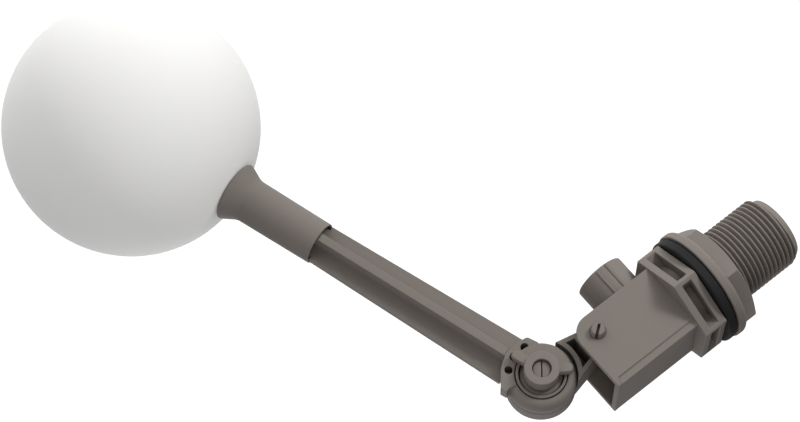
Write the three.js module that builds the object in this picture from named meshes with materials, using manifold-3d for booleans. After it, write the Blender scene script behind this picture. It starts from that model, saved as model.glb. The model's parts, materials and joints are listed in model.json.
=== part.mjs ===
// Float valve for a water tank: a wall-mounted plastic valve with a plunger that a hinged lever
// pushes onto its seat, and a hollow ball float on an arm whose angle on the lever can be set.
//
// Millimetres, +Z up, as fitted in a tank: the threaded inlet points to -X through the tank
// wall, the outlet spout points down, and the float hangs on the +X side.
// The origin is the centre of the collar's wall face, on the axis of the thread.

import * as THREE from "three";
import { mergeVertices } from "three/addons/utils/BufferGeometryUtils.js";
import Module from "manifold-3d";

const wasm = await Module();
wasm.setup();

// ---------------------------------------------------------------- driving dimensions
const GAP = 0.3; // between pieces that rest on each other
const FIT = 0.3; // radial, between pieces that turn or slide in each other

// inlet thread, a pipe thread G 3/4
const THREAD_R = 13.22;
const THREAD_PITCH = 1.814;
const THREAD_DEPTH = 1.16;
const SPIGOT_LENGTH = 38.8;
const LEAD_IN = 2.0;

// hexagonal collar of two plates joined at their corners
const HEX_FLATS = 35.0;
const COLLAR_LENGTH = 9.2;
const COLLAR_PLATE = 2.7;
const COLLAR_RIB = 2.4;
const COLLAR_CORE_R = 14.0;

// pivot pin, from which the housing is laid out
const PIN_X = 36.45;
const PIN_Z = -6.1;
const PIN_R = 2.85;
const PIN_STUB = 1.6;
const PIN_STUB_DRAFT = 0.6;
const PIN_HEAD_R = 4.3;
const PIN_HEAD = 1.5;
const PIN_SLOT = 0.9;
const PIN_SLOT_TURN = THREE.MathUtils.degToRad(-37.6);

// housing
const HOUSING_HALF_WIDTH = 12.3;
const HOUSING_FLOOR = -13.0;
const HOUSING_ROOF = 13.05;
const WALL = 2.0;
const CHEEK_REACH = 7.3; // from the pin to the housing's open end
const CHEEK_CORNER_R = 7.1;
const BAY_DEPTH = 5.45; // from the pin back to the block that the plunger's chamber is bored in
const LIP_WIDTH = 2.6;
const LIP_STEP = 0.25;

// chamber, seat and plunger
const CHAMBER_R = 8.6;
const CHAMBER_START = 5.0;
const NOZZLE_SHOULDER = 1.0;
const NOZZLE_BORE_R = 3.5;
const NOZZLE_TAIL = 8.0;
const NOZZLE_FLANGE = 1.6;
const SEAT_LIP = 1.5;
const SEAT_LIP_WALL = 1.1;
const PLUNGER_HEAD_R = 5.9;
const PLUNGER_HEAD = 4.2;
const PLUNGER_WAIST_R = 3.6;
const PLUNGER_GUIDE = 4.0;
const PLUNGER_STEM_R = 2.2;
const SEAL_R = 4.9;
const SEAL_DEPTH = 2.4;
const ORING_SECTION_R = 0.95;
const SEAT_ORING_SECTION_R = 0.7;
const SEAT_ORING_X = 1.2;

// spout
const SPOUT_SETBACK = 2.5; // of the spout's outside from the block's end
const SPOUT_R = 9.0;
const SPOUT_BORE_R = 6.5;
const SPOUT_PORT_R = 5.5;
const SPOUT_END = -24.2;

// nut and gasket
const GASKET_R = 20.2;
const GASKET_THICKNESS = 3.4;
const NUT_FLANGE_R = 20.8;
const NUT_FLANGE = 3.6;
const NUT_HEX = 5.6;
const NUT_TURN = THREE.MathUtils.degToRad(36.3);

// lever, placed and drawn from the pivot pin
const HUB_R = 4.2;
const LEVER_HALF_WIDTH = 6.0;
const LEVER_SWING = THREE.MathUtils.degToRad(30);
const NOSE_R = 2.2;
const NOSE_HALF_WIDTH = 3.0;
const HEEL_DEPTH = 1.8;
const LEVER_SPREAD = THREE.MathUtils.degToRad(12.8); // each long edge to the lever's own axis
const LEVER_HALF_AT_PIN = 4.6;
const LEVER_AXIS_Z = -0.4;
const LEVER_RIM = 1.3;
const LEVER_POCKET = 7.0;

// angle joint between lever and arm, placed from the pivot pin
const JOINT_X = 22.55;
const JOINT_Z = -1.9;
const AXLE_R = 8.6;
const AXLE_WALL = 1.0;
const AXLE_FRONT = 6.9;
const EYE_SETBACK = 0.1; // of the lever's eye inside the arm's head
const EYE_BACK = 5.8;
const LOCK_HUB_R = 6.1;
const LOCK_HUB_FRONT = 12.0;
const LOCK_PLATE_RIM = 0.7; // of the half-moon plate inside the circle of the holes' inner edges
const LOCK_PLATE = 0.8;
const LOCK_TAB = 1.3;
const LOCK_TAB_WIDTH = 3.0;
const LOCK_TAB_TURN = THREE.MathUtils.degToRad(-140);
const LOCK_PEG_R = 1.0;
const LOCK_PEG_CLEAR = 0.15; // of the lobe, so that the peg passes between its holes
const LOCK_PIN_R = 2.9;
const LOCK_PIN_HEAD_R = 7.6;
const LOCK_PIN_HEAD = 1.6;
const LOCK_PIN_RECESS = 2.6;
const LOCK_PIN_SPLIT = 0.7;
const LOCK_PIN_SPLIT_DEPTH = 8.0;

// arm
const ARM_ANGLE = THREE.MathUtils.degToRad(72.75); // below the lever's long axis, as set
const HEAD_WALL = 3.1; // around the axle
const HEAD_SHOULDER = 2.4;
const HEAD_CROWN = 6.2;
const HEAD_CROWN_WIDTH = 0.8;
const LOBE_FACE = 6.5;
const LOBE_FROM = THREE.MathUtils.degToRad(-42);
const LOBE_TO = THREE.MathUtils.degToRad(60);
const LOBE_HOLE_R = 1.375;
const LOBE_HOLE_LAND = 0.625; // between the axle's bore and each hole
const LOBE_HOLE_STEP = THREE.MathUtils.degToRad(26.4);
const LOBE_RIM = 1.225;
const ARM_LENGTH = 89.5; // from the joint to the sleeve
const ARM_WIDTH_AT_HEAD = 17.1;
const ARM_WIDTH_AT_SLEEVE = 14.4;
const ARM_PLATE = 2.2;
const ARM_RIB = 3.0;
const ARM_RIB_HALF = 6.8;

// socket and float
const SLEEVE_LENGTH = 29.6;
const SLEEVE_R = 7.6;
const SLEEVE_NECK_R = 7.85;
const SLEEVE_WALL = 1.5;
const SOCKET_FLARE_R = 10.7;
const SOCKET_FLARE = 6.2;
const SOCKET_WEB = 3.0;
const TONGUE_END_ROOM = 4.0;
const BALL_R = 45.0;
const BALL_WALL = 1.6;
const PLUG_R = 5.6;
const PLUG_DEPTH = 4.5;
const STUD_R = 2.9;
const STUD_LENGTH = 9.0;
const SEAL_RING_SECTION_R = 0.9;

// ---------------------------------------------------------------- materials
function plastic(colour, roughness) {
  return new THREE.MeshStandardMaterial({ color: colour, roughness, metalness: 0 });
}
const GREY = plastic(0x7d7771, 0.55);
const PALE = plastic(0xc9c6c0, 0.5);
const RUBBER = plastic(0x17181a, 0.8);
const WHITE = plastic(0xf1efec, 0.35);

// ---------------------------------------------------------------- solids
const TURN_TO = {
  x: new THREE.Matrix4().makeRotationZ(-Math.PI / 2),
  y: new THREE.Matrix4(),
  z: new THREE.Matrix4().makeRotationX(Math.PI / 2),
};

// A closed three.js geometry as a solid that can be joined and cut.
function solid(geometry) {
  const bare = geometry.clone();
  bare.deleteAttribute("normal");
  bare.deleteAttribute("uv");
  const merged = mergeVertices(bare, 1e-4);
  const index = merged.index.array;
  const triangles = [];
  for (let i = 0; i < index.length; i += 3) {
    const [a, b, c] = [index[i], index[i + 1], index[i + 2]];
    if (a !== b && b !== c && c !== a) triangles.push(a, b, c);
  }
  const vertProperties = new Float32Array(merged.attributes.position.array);
  const triVerts = new Uint32Array(triangles);
  return new wasm.Manifold(new wasm.Mesh({ numProp: 3, vertProperties, triVerts }));
}

// A cylinder or cone along an axis through a centre, between two places on that axis.
function rod(axis, from, to, radius, centre = [0, 0, 0], endRadius = radius, sides = 36) {
  const geometry = new THREE.CylinderGeometry(endRadius, radius, to - from, sides);
  geometry.translate(0, (from + to) / 2, 0);
  geometry.applyMatrix4(TURN_TO[axis]);
  geometry.translate(...centre);
  return solid(geometry);
}

// A turned piece along an axis. The profile is [radius, place on the axis] in order from low to
// high along the outside, starting and ending on the axis or closing on itself.
function turned(axis, profile, sides = 36) {
  const points = profile.map(([radius, place]) => new THREE.Vector2(radius, place));
  const geometry = new THREE.LatheGeometry(points, sides);
  geometry.applyMatrix4(TURN_TO[axis]);
  return solid(geometry);
}

function box(low, high) {
  const size = high.map((value, i) => value - low[i]);
  const geometry = new THREE.BoxGeometry(...size);
  geometry.translate(...low.map((value, i) => value + size[i] / 2));
  return solid(geometry);
}

function extruded(shape, depth, curveSegments = 24) {
  return new THREE.ExtrudeGeometry(shape, { depth, bevelEnabled: false, curveSegments });
}

// An outline in X and Z, given thickness from one Y to another.
function slab(shape, yLow, yHigh) {
  const geometry = extruded(shape, yHigh - yLow);
  geometry.rotateX(Math.PI / 2);
  geometry.translate(0, yHigh, 0);
  return solid(geometry);
}

function outline(points) {
  return new THREE.Shape(points.map(([x, z]) => new THREE.Vector2(x, z)));
}

// A hexagonal prism along X with a corner at the given turn from +Y.
function hexagon(xLow, xHigh, flats, turn = 0) {
  const corners = Array.from({ length: 6 }, (_, k) => {
    const angle = turn + (k * Math.PI) / 3;
    const radius = flats / Math.sqrt(3);
    return [radius * Math.cos(angle), radius * Math.sin(angle)];
  });
  const geometry = extruded(outline(corners), xHigh - xLow);
  const permute = new THREE.Matrix4().makeBasis(
    new THREE.Vector3(0, 1, 0),
    new THREE.Vector3(0, 0, 1),
    new THREE.Vector3(1, 0, 0),
  );
  geometry.applyMatrix4(permute);
  geometry.translate(xLow, 0, 0);
  return solid(geometry);
}

function joined(first, ...others) {
  return others.reduce((whole, piece) => whole.add(piece), first);
}

function cut(first, ...others) {
  return others.reduce((whole, piece) => whole.subtract(piece), first);
}

function named(name, body, material) {
  const { numProp, vertProperties, triVerts } = body.getMesh();
  const geometry = new THREE.BufferGeometry();
  geometry.setAttribute("position", new THREE.BufferAttribute(vertProperties, numProp));
  geometry.setIndex(new THREE.BufferAttribute(triVerts, 1));
  geometry.computeVertexNormals();
  const mesh = new THREE.Mesh(geometry, material);
  mesh.name = name;
  return mesh;
}

// ---------------------------------------------------------------- places that pieces share
const HOUSING_END = PIN_X + CHEEK_REACH;
const BLOCK_END = PIN_X - BAY_DEPTH;
const CAVITY_HALF_WIDTH = HOUSING_HALF_WIDTH - WALL;
const SPOUT_X = BLOCK_END - SPOUT_SETBACK - SPOUT_R;
const INLET_BORE_R = CHAMBER_R - NOZZLE_SHOULDER;
const NOZZLE_START = CHAMBER_START + GAP - NOZZLE_TAIL;
const NOZZLE_FACE = CHAMBER_START + GAP + NOZZLE_FLANGE;
const SEAT_FACE = NOZZLE_FACE + SEAT_LIP;
const NOSE_REACH = -PIN_Z; // the nose's centre lies on the plunger's axis when the valve is open
const STROKE = NOSE_REACH * Math.sin(LEVER_SWING);
const PLUNGER_FRONT = SEAT_FACE + GAP + STROKE;
const PLUNGER_REAR = PIN_X - NOSE_R - GAP;
const GUIDE_REAR = BLOCK_END + GAP;
const GUIDE_FRONT = GUIDE_REAR - PLUNGER_GUIDE;
const GUIDE_R = CHAMBER_R - FIT;
const ORING_X = (GUIDE_FRONT + GUIDE_REAR) / 2;
const NUT_BORE_R = THREAD_R + FIT;
const GASKET_END = -GAP - GASKET_THICKNESS;
const NUT_START = GASKET_END - GAP;
const JOINT = [JOINT_X, 0, JOINT_Z];
const HEAD_BORE_R = AXLE_R + FIT;
const HEAD_R = HEAD_BORE_R + HEAD_WALL;
const EYE_R = HEAD_R - EYE_SETBACK;
const LOBE_HOLE_CIRCLE = HEAD_BORE_R + LOBE_HOLE_LAND + LOBE_HOLE_R;
const LOBE_R = LOBE_HOLE_CIRCLE + LOBE_HOLE_R + LOBE_RIM;
const LOCK_PLATE_R = LOBE_HOLE_CIRCLE - LOCK_PLATE_RIM;
const LOCK_BACK = AXLE_FRONT + GAP / 2;
const SLEEVE_BORE_R = SLEEVE_R - SLEEVE_WALL;
const FLARE_START = ARM_LENGTH + SLEEVE_LENGTH;
const FLARE_END = FLARE_START + SOCKET_FLARE;
const BALL_CENTRE = FLARE_END + Math.sqrt((BALL_R + GAP) ** 2 - SOCKET_FLARE_R ** 2);
const BALL_POLE = BALL_CENTRE - BALL_R;

// ---------------------------------------------------------------- fixed pieces
function threadedSpigot() {
  const root = THREAD_R - THREAD_DEPTH;
  const start = -SPIGOT_LENGTH;
  const profile = [
    [INLET_BORE_R, start],
    [root - LEAD_IN * 0.3, start],
    [THREAD_R - THREAD_DEPTH * 0.3, start + LEAD_IN],
  ];
  const count = Math.floor((SPIGOT_LENGTH - LEAD_IN - NUT_HEX) / THREAD_PITCH);
  for (let k = 0; k < count; k += 1) {
    const x = start + LEAD_IN + k * THREAD_PITCH;
    profile.push([root, x + THREAD_PITCH * 0.5], [THREAD_R, x + THREAD_PITCH]);
  }
  profile.push([root, -THREAD_PITCH], [root, GAP], [INLET_BORE_R, GAP], [INLET_BORE_R, start]);
  return turned("x", profile, 30);
}

function collar() {
  const ribs = [0, 1, 2].map((k) => {
    const geometry = new THREE.BoxGeometry(COLLAR_LENGTH, HEX_FLATS * 2, COLLAR_RIB);
    geometry.rotateX((k * Math.PI) / 3);
    geometry.translate(COLLAR_LENGTH / 2, 0, 0);
    return solid(geometry);
  });
  const spokes = joined(...ribs).intersect(hexagon(0, COLLAR_LENGTH, HEX_FLATS));
  return joined(
    hexagon(0, COLLAR_PLATE, HEX_FLATS),
    hexagon(COLLAR_LENGTH - COLLAR_PLATE, COLLAR_LENGTH, HEX_FLATS),
    rod("x", 0, COLLAR_LENGTH, COLLAR_CORE_R),
    spokes,
  );
}

function housing() {
  const w = HOUSING_HALF_WIDTH;
  const corner = cut(
    box([PIN_X, -w - 1, HOUSING_FLOOR - 1], [HOUSING_END + 1, w + 1, PIN_Z]),
    rod("y", -w - 2, w + 2, CHEEK_CORNER_R, [PIN_X, 0, PIN_Z]),
  );
  const cavity = box(
    [BLOCK_END, -CAVITY_HALF_WIDTH, HOUSING_FLOOR - 1],
    [HOUSING_END + 1, CAVITY_HALF_WIDTH, HOUSING_ROOF - WALL],
  );
  const lips = [-1, 1].map((side) => {
    const outer = side * (w + 1);
    const inner = side * (w - LIP_STEP);
    return box(
      [COLLAR_LENGTH, Math.min(outer, inner), HOUSING_ROOF - LIP_WIDTH],
      [HOUSING_END + 1, Math.max(outer, inner), HOUSING_ROOF + 1],
    );
  });
  const outside = box(
    [COLLAR_LENGTH - 1, -w, HOUSING_FLOOR],
    [HOUSING_END, w, HOUSING_ROOF],
  );
  return cut(outside, corner, cavity, ...lips);
}

function valveBody() {
  const spout = rod("z", SPOUT_END, 0, SPOUT_R, [SPOUT_X, 0, 0]);
  const solidBody = joined(threadedSpigot(), collar(), housing(), spout);
  return cut(
    solidBody,
    rod("x", -SPIGOT_LENGTH - 1, CHAMBER_START + 1, INLET_BORE_R),
    rod("x", CHAMBER_START, BLOCK_END + 1, CHAMBER_R),
    rod("z", SPOUT_END - 1, HOUSING_FLOOR, SPOUT_BORE_R, [SPOUT_X, 0, 0]),
    rod("z", HOUSING_FLOOR - 1, 0, SPOUT_PORT_R, [SPOUT_X, 0, 0]),
    rod("y", -20, 20, PIN_R + FIT / 2, [PIN_X, 0, PIN_Z], PIN_R + FIT / 2, 32),
  );
}

function seatNozzle() {
  const lip = NOZZLE_BORE_R + SEAT_LIP_WALL;
  const tail = INLET_BORE_R - FIT;
  const grooveHalf = SEAT_ORING_SECTION_R + GAP;
  const groove = cut(
    rod("x", SEAT_ORING_X - grooveHalf, SEAT_ORING_X + grooveHalf, INLET_BORE_R + 1),
    rod("x", SEAT_ORING_X - 5, SEAT_ORING_X + 5, INLET_BORE_R - 2 * SEAT_ORING_SECTION_R - FIT),
  );
  const nozzle = turned("x", [
    [NOZZLE_BORE_R, NOZZLE_START],
    [tail, NOZZLE_START],
    [tail, CHAMBER_START + GAP],
    [CHAMBER_R - FIT, CHAMBER_START + GAP],
    [CHAMBER_R - FIT, NOZZLE_FACE],
    [lip + SEAT_LIP_WALL, NOZZLE_FACE],
    [lip, SEAT_FACE],
    [NOZZLE_BORE_R, SEAT_FACE],
    [NOZZLE_BORE_R, NOZZLE_START],
  ]);
  return cut(nozzle, groove);
}

function seatOring() {
  const middleR = INLET_BORE_R - SEAT_ORING_SECTION_R - FIT / 2;
  return ring("x", SEAT_ORING_X, middleR, SEAT_ORING_SECTION_R);
}

function wallGasket() {
  return cut(
    rod("x", GASKET_END, -GAP, GASKET_R),
    rod("x", GASKET_END - 1, 1, NUT_BORE_R),
  );
}

function lockNut() {
  const flangeEnd = NUT_START - NUT_FLANGE;
  const end = flangeEnd - NUT_HEX;
  const cornerR = HEX_FLATS / Math.sqrt(3);
  const chamfer = turned("x", [
    [0, end],
    [HEX_FLATS / 2, end],
    [cornerR + 0.2, end + 1.6],
    [cornerR + 0.2, flangeEnd + 1],
    [0, flangeEnd + 1],
  ]);
  const hex = hexagon(end, flangeEnd + 0.5, HEX_FLATS, NUT_TURN).intersect(chamfer);
  const flange = turned("x", [
    [0, flangeEnd],
    [NUT_FLANGE_R - 1.4, flangeEnd],
    [NUT_FLANGE_R, flangeEnd + 1.4],
    [NUT_FLANGE_R, NUT_START - 0.6],
    [NUT_FLANGE_R - 0.6, NUT_START],
    [0, NUT_START],
  ]);
  return cut(joined(hex, flange), rod("x", end - 1, NUT_START + 1, NUT_BORE_R));
}

function pivotPin() {
  const front = -HOUSING_HALF_WIDTH - PIN_STUB;
  const back = HOUSING_HALF_WIDTH + GAP;
  const pin = turned("y", [
    [0, front],
    [PIN_R - PIN_STUB_DRAFT, front],
    [PIN_R, front + PIN_STUB],
    [PIN_R, back],
    [PIN_HEAD_R, back],
    [PIN_HEAD_R - 0.5, back + PIN_HEAD],
    [0, back + PIN_HEAD],
  ], 32);
  const slot = new THREE.BoxGeometry(PIN_R * 3, PIN_STUB * 2, PIN_SLOT);
  slot.rotateY(PIN_SLOT_TURN);
  slot.translate(0, front, 0);
  return cut(pin, solid(slot));
}

// ---------------------------------------------------------------- plunger
function plunger() {
  const body = turned("x", [
    [0, PLUNGER_FRONT + SEAL_DEPTH + GAP],
    [SEAL_R + FIT, PLUNGER_FRONT + SEAL_DEPTH + GAP],
    [SEAL_R + FIT, PLUNGER_FRONT + GAP],
    [PLUNGER_HEAD_R, PLUNGER_FRONT + GAP],
    [PLUNGER_HEAD_R, PLUNGER_FRONT + PLUNGER_HEAD],
    [PLUNGER_WAIST_R, PLUNGER_FRONT + PLUNGER_HEAD + 1],
    [PLUNGER_WAIST_R, GUIDE_FRONT],
    [GUIDE_R, GUIDE_FRONT],
    [GUIDE_R, GUIDE_REAR],
    [PLUNGER_STEM_R, GUIDE_REAR],
    [PLUNGER_STEM_R, PLUNGER_REAR],
    [0, PLUNGER_REAR],
  ]);
  const grooveFloor = CHAMBER_R - 2 * ORING_SECTION_R - FIT;
  const groove = cut(
    rod("x", ORING_X - ORING_SECTION_R - GAP, ORING_X + ORING_SECTION_R + GAP, CHAMBER_R),
    rod("x", GUIDE_FRONT, GUIDE_REAR, grooveFloor),
  );
  return cut(body, groove);
}

function ring(axis, place, middleR, sectionR) {
  const profile = Array.from({ length: 9 }, (_, k) => {
    const angle = (-Math.PI / 2) + (k * Math.PI) / 4;
    return [middleR + sectionR * Math.cos(angle), place + sectionR * Math.sin(angle)];
  });
  return turned(axis, profile, 28);
}

function plungerSeal() {
  return rod("x", PLUNGER_FRONT, PLUNGER_FRONT + SEAL_DEPTH, SEAL_R);
}

function plungerOring() {
  return ring("x", ORING_X, CHAMBER_R - ORING_SECTION_R - FIT / 2, ORING_SECTION_R);
}

// ---------------------------------------------------------------- lever, drawn from the pin
function leverOutline(inset, start) {
  const half = (x) => LEVER_HALF_AT_PIN + x * Math.tan(LEVER_SPREAD) - inset;
  const [near, far] = [half(start), half(JOINT_X)];
  return outline([
    [start, LEVER_AXIS_Z - near],
    [JOINT_X, LEVER_AXIS_Z - far],
    [JOINT_X, LEVER_AXIS_Z + far],
    [start, LEVER_AXIS_Z + near],
  ]);
}

function lever() {
  const w = LEVER_HALF_WIDTH;
  const web = slab(leverOutline(0, 0), -w, EYE_BACK);
  const pocket = cut(
    slab(leverOutline(LEVER_RIM, HUB_R + LEVER_RIM), -w - 1, -w + LEVER_POCKET),
    rod("y", -w - 1, w, HEAD_R + FIT + LEVER_RIM, JOINT),
  );
  const eye = rod("y", GAP, EYE_BACK, EYE_R, JOINT);
  const nose = slab(
    outline([[-NOSE_R, 0], [NOSE_R, 0], [NOSE_R, NOSE_REACH], [-NOSE_R, NOSE_REACH]]),
    -NOSE_HALF_WIDTH,
    NOSE_HALF_WIDTH,
  );
  const noseTip = rod("y", -NOSE_HALF_WIDTH, NOSE_HALF_WIDTH, NOSE_R, [0, 0, NOSE_REACH]);
  const heelX = BLOCK_END + GAP - PIN_X;
  const heel = slab(
    outline([[heelX, -HUB_R], [0, -HUB_R], [0, 0], [heelX, -HUB_R + HEEL_DEPTH]]),
    -w,
    w,
  );
  const hub = rod("y", -CAVITY_HALF_WIDTH + GAP, CAVITY_HALF_WIDTH - GAP, HUB_R);
  const headRoom = rod("y", -w - 1, GAP, HEAD_R + FIT, JOINT);
  const shell = cut(joined(web, eye), headRoom, pocket);
  const axle = cut(
    rod("y", -AXLE_FRONT, GAP + 0.5, AXLE_R, JOINT),
    rod("y", -AXLE_FRONT - 1, GAP, AXLE_R - AXLE_WALL, JOINT),
  );
  return cut(
    joined(shell, axle, hub, nose, noseTip, heel),
    rod("y", -20, 20, LOCK_HUB_R + FIT, JOINT),
    rod("y", -20, 20, PIN_R + FIT / 2, [0, 0, 0], PIN_R + FIT / 2, 32),
  );
}

// ---------------------------------------------------------------- lock of the angle joint
function sector(radius, from, to) {
  const shape = new THREE.Shape();
  shape.moveTo(0, 0);
  shape.lineTo(radius * Math.cos(from), radius * Math.sin(from));
  shape.absarc(0, 0, radius, from, to, false);
  shape.closePath();
  return shape;
}

// Drawn from the joint's centre, with the peg on the +X side.
function angleLock() {
  const plateFront = LOCK_BACK + LOCK_PLATE;
  const tabFront = plateFront + LOCK_TAB;
  const half = LOCK_TAB_WIDTH / 2;
  const plate = slab(sector(LOCK_PLATE_R, LOCK_TAB_TURN, 0), -plateFront, -LOCK_BACK);
  const pegTab = box([0, -tabFront, -half], [LOBE_HOLE_CIRCLE, -LOCK_BACK, half]);
  const endTab = new THREE.BoxGeometry(LOCK_PLATE_R, tabFront - LOCK_BACK, LOCK_TAB_WIDTH);
  endTab.translate(LOCK_PLATE_R / 2, -(tabFront + LOCK_BACK) / 2, 0);
  endTab.rotateY(-LOCK_TAB_TURN);
  const pegCentre = [LOBE_HOLE_CIRCLE, 0, 0];
  const peg = rod("y", -plateFront, -LOBE_FACE - LOCK_PEG_CLEAR, LOCK_PEG_R, pegCentre, LOCK_PEG_R, 16);
  const hub = rod("y", -LOCK_HUB_FRONT, EYE_BACK - GAP, LOCK_HUB_R);
  return cut(
    joined(hub, plate, pegTab, solid(endTab), peg),
    rod("y", -LOCK_HUB_FRONT - 1, EYE_BACK, LOCK_PIN_R + FIT),
  );
}

function lockPin() {
  const front = -LOCK_HUB_FRONT + LOCK_PIN_RECESS;
  const back = EYE_BACK + GAP;
  const pin = turned("y", [
    [0, front],
    [LOCK_PIN_R - 0.5, front],
    [LOCK_PIN_R, front + 0.7],
    [LOCK_PIN_R, back],
    [LOCK_PIN_HEAD_R, back],
    [LOCK_PIN_HEAD_R - 0.6, back + LOCK_PIN_HEAD],
    [0, back + LOCK_PIN_HEAD],
  ]);
  const halfSplit = LOCK_PIN_SPLIT / 2;
  const split = box(
    [-LOCK_PIN_R - 1, front - 1, -halfSplit],
    [LOCK_PIN_R + 1, front + LOCK_PIN_SPLIT_DEPTH, halfSplit],
  );
  return cut(pin, split);
}

// ---------------------------------------------------------------- arm, drawn from the joint
function armHead() {
  const ringHead = turned("y", [
    [HEAD_BORE_R, -HEAD_CROWN],
    [HEAD_BORE_R + HEAD_CROWN_WIDTH, -HEAD_CROWN],
    [HEAD_R - 0.7, -HEAD_SHOULDER - 2.0],
    [HEAD_R, -HEAD_SHOULDER],
    [HEAD_R, 0],
    [HEAD_BORE_R, 0],
    [HEAD_BORE_R, -HEAD_CROWN],
  ]);
  const lobe = cut(
    slab(sector(LOBE_R, LOBE_FROM, LOBE_TO), -LOBE_FACE, 0),
    rod("y", -LOBE_FACE - 1, 1, HEAD_BORE_R),
  );
  return joined(ringHead, lobe);
}

function lobeHoles() {
  return [-1, 0, 1].map((k) => {
    const angle = k * LOBE_HOLE_STEP;
    const centre = [LOBE_HOLE_CIRCLE * Math.cos(angle), 0, LOBE_HOLE_CIRCLE * Math.sin(angle)];
    return rod("y", -LOBE_FACE - 1, 1, LOBE_HOLE_R, centre, LOBE_HOLE_R, 20);
  });
}

function armRod() {
  const half = (x) => {
    const share = (x - HEAD_R) / (ARM_LENGTH - HEAD_R);
    return (ARM_WIDTH_AT_HEAD + share * (ARM_WIDTH_AT_SLEEVE - ARM_WIDTH_AT_HEAD)) / 2;
  };
  const start = LOBE_R - 2;
  const end = ARM_LENGTH - GAP;
  const tip = FLARE_START - SOCKET_WEB - TONGUE_END_ROOM;
  const plate = slab(
    outline([[start, -half(start)], [end, -half(end)], [end, half(end)], [start, half(start)]]),
    -ARM_PLATE / 2,
    ARM_PLATE / 2,
  );
  const rib = box([start, -ARM_RIB_HALF, -ARM_RIB / 2], [end, ARM_RIB_HALF, ARM_RIB / 2]);
  const inner = SLEEVE_BORE_R - FIT;
  const tongue = joined(
    box([end - 1, -ARM_PLATE / 2, -inner], [tip, ARM_PLATE / 2, inner]),
    box([end - 1, -inner, -ARM_RIB / 2], [tip, inner, ARM_RIB / 2]),
  ).intersect(rod("x", end - 2, tip + 1, inner));
  return joined(plate, rib, tongue);
}

function floatArm() {
  const eyeRoom = rod("y", 0, 20, EYE_R + FIT + 0.3);
  const axleRoom = rod("y", -20, 1, HEAD_BORE_R);
  const frontRoom = box([0, -20, -20], [ARM_LENGTH, -LOBE_FACE, 20]).intersect(
    rod("y", -20, 0, LOBE_R + FIT),
  );
  return cut(joined(armHead(), cut(armRod(), eyeRoom, axleRoom, frontRoom)), ...lobeHoles());
}

// ---------------------------------------------------------------- socket and float
function ballSurface(radius, sides = 40) {
  const geometry = new THREE.SphereGeometry(radius, sides, Math.round(sides * 0.6));
  geometry.rotateZ(Math.PI / 2);
  geometry.translate(BALL_CENTRE, 0, 0);
  return solid(geometry);
}

function floatSocket() {
  const web = FLARE_START - SOCKET_WEB;
  const outside = turned("x", [
    [0, ARM_LENGTH],
    [SLEEVE_R, ARM_LENGTH],
    [SLEEVE_NECK_R, FLARE_START],
    [SOCKET_FLARE_R, FLARE_END],
    [0, FLARE_END],
  ]);
  return cut(
    outside,
    rod("x", ARM_LENGTH - 1, web, SLEEVE_BORE_R),
    rod("x", web - 1, FLARE_END + 1, STUD_R + FIT),
    rod("x", FLARE_START + 1, FLARE_END + 1, PLUG_R + FIT),
    ballSurface(BALL_R + GAP),
  );
}

function floatBall() {
  return cut(
    ballSurface(BALL_R),
    ballSurface(BALL_R - BALL_WALL, 24),
    rod("x", BALL_POLE - 5, BALL_POLE + 8, PLUG_R + FIT),
  );
}

function floatPlug() {
  const face = BALL_POLE + GAP;
  return turned("x", [
    [0, face - STUD_LENGTH],
    [STUD_R, face - STUD_LENGTH],
    [STUD_R, face],
    [PLUG_R, face],
    [PLUG_R, face + PLUG_DEPTH],
    [0, face + PLUG_DEPTH],
  ], 32);
}

function floatSeal() {
  const place = BALL_POLE - SEAL_RING_SECTION_R;
  return ring("x", place, STUD_R + SEAL_RING_SECTION_R + FIT / 2, SEAL_RING_SECTION_R);
}

// ---------------------------------------------------------------- assembly
const valve = new THREE.Group();
valve.add(
  named("valve_body", valveBody(), GREY),
  named("seat_nozzle", seatNozzle(), PALE),
  named("seat_oring", seatOring(), RUBBER),
  named("wall_gasket", wallGasket(), RUBBER),
  named("lock_nut", lockNut(), GREY),
  named("plunger", plunger(), PALE),
  named("plunger_seal", plungerSeal(), RUBBER),
  named("plunger_oring", plungerOring(), RUBBER),
);

const pivot = new THREE.Group();
pivot.position.set(PIN_X, 0, PIN_Z);
pivot.add(named("pivot_pin", pivotPin(), GREY), named("lever", lever(), GREY));
valve.add(pivot);

const joint = new THREE.Group();
joint.position.set(JOINT_X, 0, JOINT_Z);
joint.rotation.y = ARM_ANGLE;
joint.add(
  named("lock_pin", lockPin(), GREY),
  named("angle_lock", angleLock(), GREY),
  named("float_arm", floatArm(), GREY),
  named("float_socket", floatSocket(), GREY),
  named("float_ball", floatBall(), WHITE),
  named("float_plug", floatPlug(), WHITE),
  named("float_seal", floatSeal(), RUBBER),
);
pivot.add(joint);

export default valve;
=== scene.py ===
"""A wall-mounted float valve for a G 3/4 inlet: a moulded plastic body with a threaded inlet, a
lever with an angle joint, and an arm that carries a hollow ball float.

Shapes are drawn in millimetres and placed in metres. A turned shape is a profile of (radius, place
on the axis), and a slab is an outline in X and Z with a thickness along Y. A shape that cuts or
joins another runs about a millimetre past the face that it crosses.
"""

import cmath
import json
import math

import bmesh
import bpy
from mathutils import Matrix, Vector


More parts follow.
